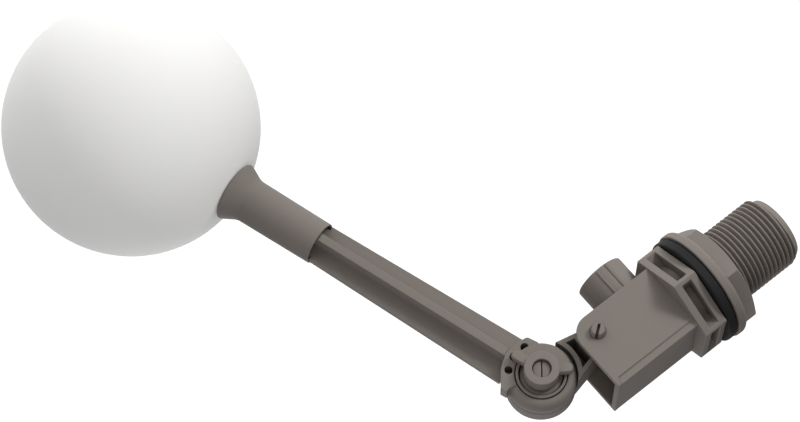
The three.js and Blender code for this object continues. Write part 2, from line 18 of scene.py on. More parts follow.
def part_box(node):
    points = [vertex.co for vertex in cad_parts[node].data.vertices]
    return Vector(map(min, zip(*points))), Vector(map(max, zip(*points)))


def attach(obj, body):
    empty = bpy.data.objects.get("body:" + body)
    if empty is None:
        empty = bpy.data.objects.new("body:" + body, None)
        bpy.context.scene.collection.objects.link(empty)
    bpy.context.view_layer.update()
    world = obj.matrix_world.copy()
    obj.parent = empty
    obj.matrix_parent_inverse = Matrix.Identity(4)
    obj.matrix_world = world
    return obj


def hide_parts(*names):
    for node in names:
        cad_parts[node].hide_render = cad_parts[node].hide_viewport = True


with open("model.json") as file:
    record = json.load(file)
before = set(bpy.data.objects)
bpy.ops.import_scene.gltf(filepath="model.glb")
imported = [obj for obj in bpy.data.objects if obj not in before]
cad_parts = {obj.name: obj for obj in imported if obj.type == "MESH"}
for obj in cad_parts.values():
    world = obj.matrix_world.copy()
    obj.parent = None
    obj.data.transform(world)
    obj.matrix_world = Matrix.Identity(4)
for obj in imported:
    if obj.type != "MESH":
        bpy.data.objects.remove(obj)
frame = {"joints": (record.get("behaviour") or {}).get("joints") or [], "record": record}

bl_info = {
    "name": "Float valve",
    "version": (1, 0, 0),
    "blender": (4, 5, 0),
    "location": "View3D > Sidebar > Float valve",
    "description": "Builds a tank float valve around its packed frame",
    "category": "Object",
}

MM = 0.001
FULL_TURN = 2 * math.pi
ROUND_STEPS = 96
ARC_STEP = math.radians(9)
SHARP = math.radians(33)
MERGE = 1e-6

GAP = 0.3  # between parts that stand free of each other
FIT = 0.15  # between a pin or a ring and its bore
OVERLAP = 0.5  # of shapes that are joined into one


# ------------------------------------------------------------------ places that the frame gives
def span(node, axis="x"):
    """Where a node's box starts and ends along an axis, in mm."""
    low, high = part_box(node)
    return getattr(low, axis) / MM, getattr(high, axis) / MM


def outside_radius(node):
    """Half the width of a node's box, in mm."""
    low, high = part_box(node)
    return (high.y - low.y) / 2 / MM


JOINTS = {joint["name"]: joint for joint in frame["joints"]}
PIVOT = Vector(JOINTS["lever_swing"]["pos_m"])
JOINT = Vector(JOINTS["arm_angle"]["pos_m"])
BALL_CENTRE = sum(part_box("float_ball"), Vector()) / 2
BALL_R = outside_radius("float_ball")
ARM_REACH = (BALL_CENTRE - JOINT).length / MM
ARM_TURN = math.atan2(JOINT.z - BALL_CENTRE.z, BALL_CENTRE.x - JOINT.x)
BODY_LOW, BODY_HIGH = (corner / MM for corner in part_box("valve_body"))
FLANGE_R = outside_radius("lock_nut")
BODY_OF = {
    node: body
    for body, nodes in frame["record"]["behaviour"]["bodies"].items()
    for node in nodes
}
SLOT_OF = {part["node"]: part["material_slot"] for part in frame["record"]["subparts"]}

AT_PIVOT = Matrix.Translation(PIVOT)
AT_JOINT = Matrix.Translation(JOINT) @ Matrix.Rotation(ARM_TURN, 4, "Y")
LEVER_JOINT = (JOINT - PIVOT) / MM


# ------------------------------------------------------------------ settings
class FloatValveSizes(bpy.types.PropertyGroup):
    """Sizes that a maker would change."""

    rounding: bpy.props.FloatProperty(
        name="Edge rounding",
        description="Radius on the edges of the grey mouldings",
        default=0.28 * MM,
        min=0.0,
        unit="LENGTH",
    )
    thread_pitch: bpy.props.FloatProperty(
        name="Thread pitch",
        description="Distance between the crests of the inlet thread",
        default=1.814 * MM,
        min=0.5 * MM,
        unit="LENGTH",
    )
    thread_depth: bpy.props.FloatProperty(
        name="Thread depth",
        description="From crest to root of the inlet thread",
        default=1.4 * MM,
        min=0.1 * MM,
        unit="LENGTH",
    )
    ball_wall: bpy.props.FloatProperty(
        name="Ball wall",
        description="Wall thickness of the hollow float",
        default=1.6 * MM,
        min=0.5 * MM,
        unit="LENGTH",
    )


class FloatValveColours(bpy.types.PropertyGroup):
    """Colours of the materials."""

    moulding: bpy.props.FloatVectorProperty(
        name="Mouldings",
        description="Base colour of the grey plastic",
        subtype="COLOR",
        size=3,
        min=0.0,
        max=1.0,
        default=(0.195, 0.182, 0.174),
    )
    insert: bpy.props.FloatVectorProperty(
        name="Inserts",
        description="Base colour of the plunger and the seat nozzle",
        subtype="COLOR",
        size=3,
        min=0.0,
        max=1.0,
        default=(0.58, 0.56, 0.52),
    )
    rubber: bpy.props.FloatVectorProperty(
        name="Rubber",
        description="Base colour of the gasket, the seals and the O-rings",
        subtype="COLOR",
        size=3,
        min=0.0,
        max=1.0,
        default=(0.003, 0.003, 0.003),
    )
    ball: bpy.props.FloatVectorProperty(
        name="Float",
        description="Base colour of the ball float",
        subtype="COLOR",
        size=3,
        min=0.0,
        max=1.0,
        default=(0.66, 0.63, 0.71),
    )
    floor: bpy.props.FloatVectorProperty(
        name="Floor",
        description="Colour of the floor",
        subtype="COLOR",
        size=3,
        min=0.0,
        max=1.0,
        default=(0.9, 0.9, 0.9),
    )


def sizes():
    return bpy.context.scene.float_valve_sizes


def colours():
    return bpy.context.scene.float_valve_colours


# ------------------------------------------------------------------ shapes
def rounded(corners, default=0.0):
    """A closed outline with its corners rounded by arcs. A corner may give a radius of its own."""
    points = []
    for i, (a, b, *own) in enumerate(corners):
        here = complex(a, b)
        before = complex(*corners[i - 1][:2]) - here
        after = complex(*corners[(i + 1) % len(corners)][:2]) - here
        radius = own[0] if own else default
        half = abs(cmath.phase(after / before)) / 2
        if radius <= 0 or half > math.pi / 2 - 0.01:
            points.append((a, b))
            continue
        reach = radius / math.tan(half)
        start = here + before / abs(before) * reach
        middle = before / abs(before) + after / abs(after)
        centre = here + middle / abs(middle) * radius / math.sin(half)
        turn = cmath.phase((here + after / abs(after) * reach - centre) / (start - centre))
        count = max(2, math.ceil(abs(turn) / ARC_STEP))
        arc = (centre + (start - centre) * cmath.exp(1j * turn * k / count) for k in range(count + 1))
        points += [(point.real, point.imag) for point in arc]
    return points


def tidy(shape):
    bmesh.ops.remove_doubles(shape, verts=shape.verts, dist=MERGE)
    bmesh.ops.recalc_face_normals(shape, faces=shape.faces)
    return shape


def moved(shape, *matrices):
    for matrix in matrices:
        bmesh.ops.transform(shape, matrix=matrix, verts=shape.verts)
    return shape


def shift(x, y, z):
    return Matrix.Translation(Vector((x, y, z)) * MM)


def turned(profile, axis="X", centre=(0, 0, 0), steps=ROUND_STEPS):
    """A turned shape. A profile that doesn't start on the axis closes on itself."""
    shape = bmesh.new()
    rim = [shape.verts.new((place * MM, radius * MM, 0)) for radius, place in profile]
    edges = [shape.edges.new(pair) for pair in zip(rim, rim[1:])]
    if profile[0][0] > 0:
        edges.append(shape.edges.new((rim[-1], rim[0])))
    bmesh.ops.spin(
        shape, geom=rim + edges, axis=(1, 0, 0), cent=(0, 0, 0), angle=FULL_TURN, steps=steps,
        use_merge=True,
    )
    lay = {
        "X": Matrix(),
        "Y": Matrix.Rotation(math.pi / 2, 4, "Z"),
        "Z": Matrix.Rotation(-math.pi / 2, 4, "Y"),
    }
    return moved(tidy(shape), lay[axis], shift(*centre))


def rod(low, high, radius, axis="X", centre=(0, 0, 0), far_radius=None, steps=ROUND_STEPS):
    """A cylinder or a cone between two places on its axis."""
    far = radius if far_radius is None else far_radius
    return turned([(0, low), (radius, low), (far, high), (0, high)], axis, centre, steps)


def slab(outline, low, high):
    shape = bmesh.new()
    face = shape.faces.new([shape.verts.new((x * MM, low * MM, z * MM)) for x, z in outline])
    grown = bmesh.ops.extrude_face_region(shape, geom=[face])["geom"]
    tops = [item for item in grown if isinstance(item, bmesh.types.BMVert)]
    bmesh.ops.translate(shape, verts=tops, vec=(0, (high - low) * MM, 0))
    return tidy(shape)


def block(low, high):
    """A box between two corners."""
    outline = [(low[0], low[2]), (high[0], low[2]), (high[0], high[2]), (low[0], high[2])]
    return slab(outline, low[1], high[1])


def bar(outline, low, high):
    """An outline in Y and Z, drawn out along X."""
    swap = Matrix(((0, 1, 0, 0), (1, 0, 0, 0), (0, 0, 1, 0), (0, 0, 0, 1)))
    return tidy(moved(slab(outline, low, high), swap))


def hexagon(low, high, flats, first_corner=0.0):
    """A hexagonal bar along X, with a corner at an angle from +Y towards +Z."""
    reach = flats / math.sqrt(3)
    turns = [first_corner + k * math.pi / 3 for k in range(6)]
    return bar([(reach * math.cos(turn), reach * math.sin(turn)) for turn in turns], low, high)


def sector(radius, start, end):
    """A pie slice as an outline."""
    count = math.ceil(abs(end - start) / ARC_STEP) * 2
    turns = [start + (end - start) * k / count for k in range(count + 1)]
    return [(0, 0)] + [(radius * math.cos(turn), radius * math.sin(turn)) for turn in turns]


def as_object(shape, name):
    mesh = bpy.data.meshes.new(name)
    shape.to_mesh(mesh)
    shape.free()
    thing = bpy.data.objects.new(name, mesh)
    bpy.context.scene.collection.objects.link(thing)
    return thing


def worked(base, *steps):
    """The base after each (operation, shape) is joined to it or cut from it."""
    blank = as_object(base, "blank")
    tools = []
    for operation, shape in steps:
        tool = as_object(shape, "tool")
        tools.append(tool)
        modifier = blank.modifiers.new(operation, "BOOLEAN")
        modifier.operation = operation
        modifier.solver = "MANIFOLD"
        modifier.object = tool
    depsgraph = bpy.context.evaluated_depsgraph_get()
    result = bmesh.new()
    result.from_object(blank, depsgraph)
    for thing in [blank, *tools]:
        mesh = thing.data
        bpy.data.objects.remove(thing)
        bpy.data.meshes.remove(mesh)
    bmesh.ops.dissolve_degenerate(result, dist=MERGE, edges=result.edges)
    return tidy(result)


def joined(base, *shapes):
    return worked(base, *(("UNION", shape) for shape in shapes))


def cut(base, *shapes):
    return worked(base, *(("DIFFERENCE", shape) for shape in shapes))


def add_piece(name, shape, node, rounding=None, segments=3):
    """Puts a finished shape in the scene in place of a node of the frame."""
    for face in shape.faces:
        face.smooth = True
    piece = as_object(shape, name)
    width = sizes().rounding if rounding is None else rounding * MM
    if width > 0:
        bevel = piece.modifiers.new("Rounding", "BEVEL")
        bevel.width = width
        bevel.segments = segments
        bevel.limit_method = "ANGLE"
        bevel.angle_limit = SHARP
        bevel.use_clamp_overlap = False
        bevel.loop_slide = False
    level = piece.modifiers.new("Level faces", "WEIGHTED_NORMAL")
    level.keep_sharp = True
    piece.data.materials.append(material_of(node))
    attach(piece, BODY_OF[node])
    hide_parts(node)
    return piece


# ------------------------------------------------------------------ materials
def new_material(name):
    material = bpy.data.materials.new(name)
    material.use_nodes = True
    tree = material.node_tree
    return material, tree, tree.nodes["Principled BSDF"]


def noise(tree, size, detail, roughness=0.5):
    """Noise on the piece's own coordinates, with blotches of about the size given in mm."""
    place = tree.nodes.new("ShaderNodeTexCoord")
    pattern = tree.nodes.new("ShaderNodeTexNoise")
    pattern.inputs["Scale"].default_value = 1 / (size * MM)
    pattern.inputs["Detail"].default_value = detail
    pattern.inputs["Roughness"].default_value = roughness
    tree.links.new(place.outputs["Object"], pattern.inputs["Vector"])
    return pattern.outputs["Fac"]


def spread(tree, value, low, high):
    """The value's middle range spread between two numbers."""
    rescale = tree.nodes.new("ShaderNodeMapRange")
    rescale.inputs["From Min"].default_value = 0.3
    rescale.inputs["From Max"].default_value = 0.7
    rescale.inputs["To Min"].default_value = low
    rescale.inputs["To Max"].default_value = high
    tree.links.new(value, rescale.inputs["Value"])
    return rescale.outputs["Result"]


def blend_colours(tree, factor, dark, light):
    mix = tree.nodes.new("ShaderNodeMix")
    mix.data_type = "RGBA"
    mix.inputs["A"].default_value = (*dark, 1)
    mix.inputs["B"].default_value = (*light, 1)
    tree.links.new(factor, mix.inputs["Factor"])
    return mix.outputs["Result"]


def bump(tree, height, depth, strength=1.0, normal=None):
    """Relief of a depth in mm."""
    relief = tree.nodes.new("ShaderNodeBump")
    relief.inputs["Distance"].default_value = depth * MM
    relief.inputs["Strength"].default_value = strength
    tree.links.new(height, relief.inputs["Height"])
    if normal is not None:
        tree.links.new(normal, relief.inputs["Normal"])
    return relief.outputs["Normal"]


def scaled(colour, factor):
    return tuple(min(1.0, channel * factor) for channel in colour)


def moulded_plastic(name, colour, gloss, variation=0.07):
    """Injection-moulded plastic: slightly cloudy, with a fine spark-eroded grain and soft gloss."""
    material, tree, shader = new_material(name)
    clouds = spread(tree, noise(tree, 9.0, 3.0), 0.0, 1.0)
    tint = blend_colours(tree, clouds, scaled(colour, 1 - variation), scaled(colour, 1 + variation))
    tree.links.new(tint, shader.inputs["Base Color"])
    sheen = spread(tree, noise(tree, 3.5, 4.0), gloss - 0.07, gloss + 0.09)
    tree.links.new(sheen, shader.inputs["Roughness"])
    flow = bump(tree, noise(tree, 5.0, 2.0), 0.05, 0.5)
    grain = bump(tree, noise(tree, 0.28, 3.0, 0.6), 0.012, 0.55, flow)
    tree.links.new(grain, shader.inputs["Normal"])
    shader.inputs["Specular IOR Level"].default_value = 0.8
    return material


def black_rubber():
    """Matt rubber with a dusty bloom."""
    material, tree, shader = new_material("black_rubber")
    base = tuple(colours().rubber)
    bloom = spread(tree, noise(tree, 2.5, 5.0), 0.0, 1.0)
    tree.links.new(blend_colours(tree, bloom, base, scaled(base, 1.6)), shader.inputs["Base Color"])
    tree.links.new(spread(tree, noise(tree, 1.2, 3.0), 0.6, 0.85), shader.inputs["Roughness"])
    tree.links.new(bump(tree, noise(tree, 0.35, 3.0), 0.02, 0.6), shader.inputs["Normal"])
    shader.inputs["IOR"].default_value = 1.04
    return material


def white_float():
    """Milky polymer, a little translucent, with a satin skin."""
    material, tree, shader = new_material("white_float")
    base = tuple(colours().ball)
    clouds = spread(tree, noise(tree, 26.0, 3.0), 0.0, 1.0)
    tree.links.new(blend_colours(tree, clouds, scaled(base, 0.975), base), shader.inputs["Base Color"])
    tree.links.new(spread(tree, noise(tree, 8.0, 4.0), 0.36, 0.46), shader.inputs["Roughness"])
    skin = bump(tree, noise(tree, 14.0, 2.0), 0.06, 0.35)
    tree.links.new(bump(tree, noise(tree, 0.6, 2.0), 0.006, 0.5, skin), shader.inputs["Normal"])
    shader.inputs["Subsurface Weight"].default_value = 1.0
    shader.inputs["Subsurface Radius"].default_value = (1.0, 1.0, 1.0)
    shader.inputs["Subsurface Scale"].default_value = 0.03
    shader.inputs["Specular IOR Level"].default_value = 0.4
    return material


def floor_paint():
    material, tree, shader = new_material("floor_paint")
    base = tuple(colours().floor)
    patches = spread(tree, noise(tree, 400.0, 2.0), 0.0, 1.0)
    tree.links.new(blend_colours(tree, patches, scaled(base, 0.995), base), shader.inputs["Base Color"])
    shader.inputs["Roughness"].default_value = 0.9
    shader.inputs["Specular IOR Level"].default_value = 0.1
    return material


MAKERS = {
    "grey_plastic": lambda: moulded_plastic("grey_plastic", tuple(colours().moulding), 0.4),
    "pale_plastic": lambda: moulded_plastic("pale_plastic", tuple(colours().insert), 0.4, 0.03),
    "black_rubber": black_rubber,
    "white_float": white_float,
}


def material_of(node):
    slot = SLOT_OF[node]
    return bpy.data.materials.get(slot) or MAKERS[slot]()


# ------------------------------------------------------------------ valve body
THREAD_R = 13.22
THREAD_STEPS = 12  # along the axis, in each pitch of the thread
THREAD_STEEPNESS = 1.45
THREAD_ROOT_FLAT = 0.1
FIRST_CREST = 0.35  # height of the crest at the lead-in, as a share of the full one
RUN_OUT = 1.6
LEAD_IN = 2.2
SPIGOT_END_STEP = 0.7
SPIGOT_END_R = 0.9
INLET_BORE_R = 7.6
HEX_FLATS = 35.0
COLLAR_LENGTH = 9.2
COLLAR_PLATE = 2.7
COLLAR_WEB = 1.4
COLLAR_POCKET_FLOOR = 11.0
COLLAR_CORE_R = 13.4
HOUSING_HALF_WIDTH = 12.3
HOUSING_FLOOR = -13.0
HOUSING_ROOF = 13.05
HOUSING_WALL = 2.0
BLOCK_END = 31.0
CHEEK_CORNER_R = 7.1
LIP_WIDTH = 2.6
LIP_STEP = 0.3
LIP_START = 10.6
LIP_END = 41.6
LIP_SLANT = 1.2
CHAMBER_R = 8.6
CHAMBER_START = 5.0
SPOUT_X = 19.5
SPOUT_R = 9.0
SPOUT_BORE_R = 6.5
SPOUT_PORT_R = 5.5
SPOUT_RIBS = (-1.5, 2.35)
SPOUT_RIB_R = 0.32
SPOUT_RIB_START = 0.8
PIN_R = 2.55


def thread_height(x, turn):
    """From 0 at the root to 1 at the crest of a right-hand thread."""
    share = (x / sizes().thread_pitch + turn / FULL_TURN) % 1
    flank = abs(2 * share - 1)
    return min(1.0, max(0.0, THREAD_STEEPNESS * flank - THREAD_ROOT_FLAT))


def inlet_spigot():
    start = BODY_LOW.x
    step = sizes().thread_pitch / MM / THREAD_STEPS
    count = math.ceil((COLLAR_PLATE / 2 - start - LEAD_IN) / step)
    depth = sizes().thread_depth / MM
    root = THREAD_R - depth
    nose = rounded([
        (INLET_BORE_R, start),
        (root - SPIGOT_END_STEP, start, SPIGOT_END_R),
        (THREAD_R, start + LEAD_IN),
    ])[:-1]
    skin = [(THREAD_R, start + LEAD_IN + k * step) for k in range(count + 1)]
    end = skin[-1][1]
    shape = turned(nose + skin + [(INLET_BORE_R, end), (INLET_BORE_R, (start + end) / 2)], steps=128)
    for vertex in shape.verts:
        radius = math.hypot(vertex.co.y, vertex.co.z)
        if radius > (THREAD_R - 0.01) * MM and vertex.co.x < (end - 0.01) * MM:
            height = thread_height(vertex.co.x, math.atan2(vertex.co.z, vertex.co.y))
            run_out = min(1.0, max(0.0, (vertex.co.x / MM - start - RUN_OUT) / RUN_OUT))
            wanted = THREAD_R - depth * (1 - height * (FIRST_CREST + (1 - FIRST_CREST) * run_out))
            vertex.co.yz = vertex.co.yz * (wanted * MM / radius)
    return shape


def collar():
    """A hexagon with a pocket in each flat, a round core and webs at the corners."""
    slope = math.tan(math.pi / 6)
    floor = COLLAR_POCKET_FLOOR
    outside = HEX_FLATS
    wedge = [
        (COLLAR_WEB - floor * slope, floor),
        (floor * slope - COLLAR_WEB, floor),
        (outside * slope - COLLAR_WEB, outside),
        (COLLAR_WEB - outside * slope, outside),
    ]
    pockets = []
    for k in range(6):
        pocket = bar(wedge, COLLAR_PLATE, COLLAR_LENGTH - COLLAR_PLATE)
        pockets.append(moved(pocket, Matrix.Rotation(k * math.pi / 3, 4, "X")))
    shell = cut(hexagon(0, COLLAR_LENGTH, HEX_FLATS), *pockets)
    return cut(
        joined(shell, rod(1, COLLAR_LENGTH - 1, COLLAR_CORE_R)),
        rod(-1, CHAMBER_START + 1, INLET_BORE_R),
        rod(CHAMBER_START, BLOCK_END, CHAMBER_R),
    )


def housing_outline():
    end = BODY_HIGH.x
    return rounded([
        (COLLAR_LENGTH - 1, HOUSING_FLOOR),
        (end, HOUSING_FLOOR, CHEEK_CORNER_R),
        (end, HOUSING_ROOF),
        (COLLAR_LENGTH - 1, HOUSING_ROOF),
    ])


def housing():
    w = HOUSING_HALF_WIDTH
    cavity_half = w - HOUSING_WALL
    cavity_roof = HOUSING_ROOF - HOUSING_WALL
    pin = (PIVOT.x / MM, 0, PIVOT.z / MM)
    lips = []
    for side in (-1, 1):
        strip = slab(
            [
                (LIP_START, HOUSING_ROOF - LIP_WIDTH),
                (LIP_END, HOUSING_ROOF - LIP_WIDTH),
                (LIP_END + LIP_SLANT, HOUSING_ROOF + 1),
                (LIP_START - 1, HOUSING_ROOF + 1),
            ],
            *sorted((side * (w - LIP_STEP), side * (w + 1))),
        )
        lips.append(strip)
    ribs = []
    for x in SPOUT_RIBS:
        place = (SPOUT_X + x, -math.sqrt(SPOUT_R**2 - x * x), 0)
        ribs.append(rod(BODY_LOW.z + SPOUT_RIB_START, 0, SPOUT_RIB_R, "Z", place, steps=12))
    spout = joined(rod(BODY_LOW.z, 0, SPOUT_R, "Z", (SPOUT_X, 0, 0)), *ribs)
    whole = joined(slab(housing_outline(), -w, w), spout)
    return cut(
        whole,
        block((BLOCK_END, -cavity_half, HOUSING_FLOOR - 1), (BODY_HIGH.x + 1, cavity_half, cavity_roof)),
        rod(CHAMBER_START, BLOCK_END + 1, CHAMBER_R),
        rod(BODY_LOW.z - 1, HOUSING_FLOOR, SPOUT_BORE_R, "Z", (SPOUT_X, 0, 0)),
        rod(HOUSING_FLOOR - 1, 0, SPOUT_PORT_R, "Z", (SPOUT_X, 0, 0)),
        rod(-w - 2, w + 2, PIN_R + FIT, "Y", pin, steps=48),
        *lips,
    )


class FV_OT_body(bpy.types.Operator):
    """Makes the valve's body and its threaded inlet"""

    bl_idname = "float_valve.body"
    bl_label = "Valve body"

    def execute(self, context):
        add_piece("inlet_spigot", inlet_spigot(), "valve_body", rounding=0)
        add_piece("collar", collar(), "valve_body")
        add_piece("housing", housing(), "valve_body")
        return {"FINISHED"}


# ------------------------------------------------------------------ nut and gasket
NUT_FIRST_CORNER = math.radians(36.3)
NUT_BORE_R = 13.52
NUT_FLANGE = 3.6
NUT_CHAMFER = 1.6
NUT_FACE_STEP = 0.3
NUT_CORNER_STEP = 0.2
NUT_MOUTH = 1.6
NUT_MOUTH_DEPTH = 0.6
FLANGE_EDGE_R = 1.5
GASKET_EDGE_R = 0.7


def lock_nut():
    low, high = span("lock_nut")
    shoulder = high - NUT_FLANGE
    corner_r = HEX_FLATS / math.sqrt(3)
    chamfer = turned([
        (0, low),
        (HEX_FLATS / 2 - NUT_FACE_STEP, low),
        (corner_r + NUT_CORNER_STEP, low + NUT_CHAMFER),
        (corner_r + NUT_CORNER_STEP, high),
        (0, high),
    ])
    hex_bar = hexagon(low, shoulder + OVERLAP, HEX_FLATS, NUT_FIRST_CORNER)
    flange = turned(
        [(0, shoulder)]
        + rounded([
            (NUT_BORE_R, shoulder, 0),
            (FLANGE_R, shoulder, FLANGE_EDGE_R),
            (FLANGE_R, high, 0.5),
            (NUT_BORE_R, high, 0),
        ])
        + [(0, high)]
    )
    mouth = turned([
        (0, low - 1),
        (NUT_BORE_R + NUT_MOUTH, low - 1),
        (NUT_BORE_R, low + NUT_MOUTH_DEPTH),
        (NUT_BORE_R, high + 1),
        (0, high + 1),
    ])
    return cut(joined(worked(hex_bar, ("INTERSECT", chamfer)), flange), mouth)


def ring_section(node, bore, rounding):
    """The profile of a flat ring that fills a node's box along X."""
    low, high = span(node)
    outside = outside_radius(node)
    return rounded([(bore, low), (outside, low), (outside, high), (bore, high)], rounding)


class FV_OT_nut(bpy.types.Operator):
    """Makes the lock nut and the wall gasket"""

    bl_idname = "float_valve.nut"
    bl_label = "Lock nut and gasket"

    def execute(self, context):
        gasket = turned(ring_section("wall_gasket", NUT_BORE_R, GASKET_EDGE_R))
        add_piece("flanged_nut", lock_nut(), "lock_nut", rounding=0.22)
        add_piece("gasket_ring", gasket, "wall_gasket", rounding=0)
        return {"FINISHED"}


# ------------------------------------------------------------------ pivot pin
PIN_RISE = 0.8
PIN_STUB_TOP_R = 2.15
PIN_STUB_BASE_R = 2.74
PIN_HEAD_R = 4.3
PIN_SLOT = 0.9
PIN_SLOT_DEPTH = 4.0
PIN_SLOT_TURN = math.radians(-37.6)


def pivot_pin():
    low, high = span("pivot_pin", "y")
    low -= PIN_RISE
    head = HOUSING_HALF_WIDTH + 2 * FIT
    pin = turned(
        rounded([
            (0, low, 0),
            (PIN_STUB_TOP_R, low, 0.25),
            (PIN_STUB_BASE_R, -HOUSING_HALF_WIDTH - 0.02, 0),
            (PIN_R, -HOUSING_HALF_WIDTH - 0.02, 0),
            (PIN_R, head, 0),
            (PIN_HEAD_R, head, 0.2),
            (PIN_HEAD_R, high, 0.6),
            (0, high, 0),
        ]),
        "Y",
    )
    slot = block((-PIN_HEAD_R, low - 1, -PIN_SLOT / 2), (PIN_HEAD_R, low + PIN_SLOT_DEPTH, PIN_SLOT / 2))
    return moved(cut(pin, moved(slot, Matrix.Rotation(PIN_SLOT_TURN, 4, "Y"))), AT_PIVOT)


class FV_OT_pin(bpy.types.Operator):
    """Makes the slotted pin that the lever turns on"""

    bl_idname = "float_valve.pin"
    bl_label = "Pivot pin"

    def execute(self, context):
        add_piece("slotted_pin", pivot_pin(), "pivot_pin", rounding=0.12)
        return {"FINISHED"}


# ------------------------------------------------------------------ lever
LEVER_HALF_WIDTH = 6.0
LEVER_HALF_AT_PIN = 4.6
LEVER_SPREAD = math.radians(12.8)
LEVER_AXIS_Z = -0.4
LEVER_RIM = 1.7
LEVER_POCKET = 10.0
HUB_R = 4.2
NOSE_R = 2.2
NOSE_HALF_WIDTH = 3.0
HEEL_DEPTH = 1.8
EYE_R = 11.9
EYE_BACK = 5.8
HEAD_R = 12.0
AXLE_R = 8.6
AXLE_WALL = 1.0
AXLE_FRONT = 6.9
LOCK_HUB_R = 5.95


def lever_outline(inset, start):
    near = LEVER_HALF_AT_PIN + start * math.tan(LEVER_SPREAD) - inset
    far = LEVER_HALF_AT_PIN + LEVER_JOINT.x * math.tan(LEVER_SPREAD) - inset
    return [
        (start, LEVER_AXIS_Z - near),
        (LEVER_JOINT.x, LEVER_AXIS_Z - far),
        (LEVER_JOINT.x, LEVER_AXIS_Z + far),
        (start, LEVER_AXIS_Z + near),
    ]


def lever_pocket():
    """The hollow between the lever's rims, behind the ring wall around the arm's head."""
    outline = lever_outline(LEVER_RIM, HUB_R + LEVER_RIM)
    hollow = slab(outline, -LEVER_HALF_WIDTH - 1, LEVER_POCKET - LEVER_HALF_WIDTH)
    ring = rod(-LEVER_HALF_WIDTH - 2, LEVER_HALF_WIDTH, HEAD_R + GAP + LEVER_RIM, "Y", LEVER_JOINT)
    return cut(hollow, ring)


def lever():
    w = LEVER_HALF_WIDTH
    bay_half = HOUSING_HALF_WIDTH - HOUSING_WALL - GAP
    nose_reach = -PIVOT.z / MM
    heel = BLOCK_END + GAP - PIVOT.x / MM
    web = cut(
        joined(slab(lever_outline(0, 0), -w, EYE_BACK), rod(GAP, EYE_BACK, EYE_R, "Y", LEVER_JOINT)),
        rod(-w - 1, GAP, HEAD_R + GAP, "Y", LEVER_JOINT),
        lever_pocket(),
    )
    axle = turned(
        rounded([
            (AXLE_R - AXLE_WALL, -AXLE_FRONT, 0.35),
            (AXLE_R, -AXLE_FRONT, 0.35),
            (AXLE_R, GAP + OVERLAP),
            (AXLE_R - AXLE_WALL, GAP + OVERLAP),
        ]),
        "Y",
        LEVER_JOINT,
    )
    nose = block((-NOSE_R, -NOSE_HALF_WIDTH, 0), (NOSE_R, NOSE_HALF_WIDTH, nose_reach))
    whole = joined(
        web,
        rod(-bay_half, bay_half, HUB_R, "Y"),
        nose,
        rod(-NOSE_HALF_WIDTH, NOSE_HALF_WIDTH, NOSE_R, "Y", (0, 0, nose_reach), steps=48),
        slab([(heel, -HUB_R), (0, -HUB_R), (0, 0), (heel, -HUB_R + HEEL_DEPTH)], -w, w),
    )
    bored = cut(
        whole,
        rod(-w - 1, w + 1, LOCK_HUB_R + GAP, "Y", LEVER_JOINT),
        rod(-bay_half - 1, bay_half + 1, PIN_R + FIT, "Y", steps=48),
    )
    return moved(joined(bored, axle), AT_PIVOT)


class FV_OT_lever(bpy.types.Operator):
    """Makes the lever with its nose, heel, eye and axle"""

    bl_idname = "float_valve.lever"
    bl_label = "Lever"

    def execute(self, context):
        add_piece("lever_moulding", lever(), "lever", rounding=0.2)
        return {"FINISHED"}


# ------------------------------------------------------------------ angle lock, drawn from the joint
LOCK_HUB_FRONT = 12.0
LOCK_PLATE_R = 10.2
LOCK_PLATE = 0.8
LOCK_BACK = 7.05
LOCK_TAB = 2.3
LOCK_SHELF_R = 7.2
LOCK_SHELF = (-5.6, -4.8)
LOCK_TAB_HALF = 1.5
LOCK_TAB_CORNER_R = 1.2
LOCK_TAB_TURN = math.radians(-140)
LOCK_BORE_R = 3.2
LOCK_PEG_R = 1.0
HOLE_CIRCLE = 10.9
LOCK_PIN_R = 3.05
LOCK_PIN_HEAD_R = 7.6
LOCK_PIN_HEAD = 1.6
LOCK_PIN_RECESS = 1.3
LOCK_PIN_SPLIT = 0.35
LOCK_PIN_SPLIT_DEPTH = 8.0
LOCK_PIN_SPLIT_TURN = math.radians(-123.5)
PEG_DEPTH = 0.5


def lock_tab(reach, turn):
    outline = rounded([
        (0, -LOCK_TAB_HALF),
        (reach, -LOCK_TAB_HALF, LOCK_TAB_CORNER_R),
        (reach, LOCK_TAB_HALF, LOCK_TAB_CORNER_R),
        (0, LOCK_TAB_HALF),
    ])
    front = LOCK_BACK + LOCK_PLATE + LOCK_TAB
    return moved(slab(outline, -front, -LOCK_BACK), Matrix.Rotation(-turn, 4, "Y"))


def angle_lock():
    knob = joined(
        rod(-LOCK_HUB_FRONT, EYE_BACK - GAP, LOCK_HUB_R, "Y"),
        rod(*LOCK_SHELF, LOCK_SHELF_R, "Y"),
        lock_tab(HOLE_CIRCLE + 0.4, 0),
        lock_tab(LOCK_PLATE_R + 0.2, LOCK_TAB_TURN),
        rod(-LOCK_BACK - OVERLAP, PEG_DEPTH - LOBE_FACE, LOCK_PEG_R, "Y", (HOLE_CIRCLE, 0, 0), steps=32),
    )
    return moved(cut(knob, rod(-LOCK_HUB_FRONT - 1, EYE_BACK, LOCK_BORE_R, "Y")), AT_JOINT)


def lock_plate():
    plate = slab(sector(LOCK_PLATE_R, LOCK_TAB_TURN, 0), -LOCK_BACK - LOCK_PLATE, -LOCK_BACK)
    return moved(cut(plate, rod(-LOCK_HUB_FRONT, 0, LOCK_HUB_R - 0.5, "Y")), AT_JOINT)


